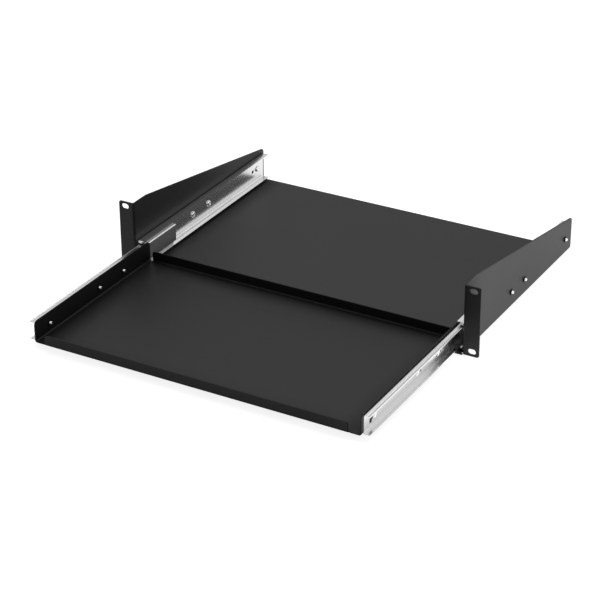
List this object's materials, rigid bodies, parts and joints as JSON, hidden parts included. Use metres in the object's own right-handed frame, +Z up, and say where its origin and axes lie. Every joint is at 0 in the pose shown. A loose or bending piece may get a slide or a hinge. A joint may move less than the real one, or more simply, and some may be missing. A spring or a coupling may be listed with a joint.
{
  "type": "rack keyboard drawer",
  "caption": "Rack-mount keyboard drawer: open chassis with tapered side plates and slotted ears, and a shallow lipped tray that slides on ball-bearing rails.",
  "frame": {"origin": "centre of the four ear slots, in the plane of the ears' back faces, which bear on the rack posts", "axes": "+X to the right seen from the front, +Y to the rear into the rack, +Z up"},
  "size_m": [0.4826, 0.534, 0.0882],
  "materials": {
    "chassis_paint": "fine satin powder coat",
    "tray_paint": "fine satin powder coat",
    "rail_zinc": "bright zinc plate",
    "retainer_steel": "plain pressed steel",
    "ball_steel": "polished",
    "screw_zinc": "bright zinc plate"
  },
  "bodies": {
    "base": {"chassis": "chassis_paint", "left_fixed_rail": "rail_zinc", "right_fixed_rail": "rail_zinc", "left_rail_screws": "screw_zinc", "right_rail_screws": "screw_zinc"},
    "drawer": {"tray": "tray_paint", "left_moving_rail": "rail_zinc", "right_moving_rail": "rail_zinc", "left_tray_screws": "screw_zinc", "right_tray_screws": "screw_zinc"},
    "left_cage": {"left_upper_retainer": "retainer_steel", "left_lower_retainer": "retainer_steel", "left_upper_balls": "ball_steel", "left_lower_balls": "ball_steel"},
    "right_cage": {"right_upper_retainer": "retainer_steel", "right_lower_retainer": "retainer_steel", "right_upper_balls": "ball_steel", "right_lower_balls": "ball_steel"}
  },
  "joints": [
    {"name": "tray_slide", "type": "slide", "parent": "base", "child": "drawer", "axis": [0, 1, 0], "range_m": [0, 0.225]},
    {"name": "left_cage_slide", "type": "slide", "parent": "base", "child": "left_cage", "axis": [0, 1, 0], "range_m": [0, 0.1125]},
    {"name": "right_cage_slide", "type": "slide", "parent": "base", "child": "right_cage", "axis": [0, 1, 0], "range_m": [0, 0.1125]}
  ],
  "couplings": [
    {"joint": "left_cage_slide", "follows": "tray_slide", "ratio": 0.5},
    {"joint": "right_cage_slide", "follows": "tray_slide", "ratio": 0.5}
  ]
}
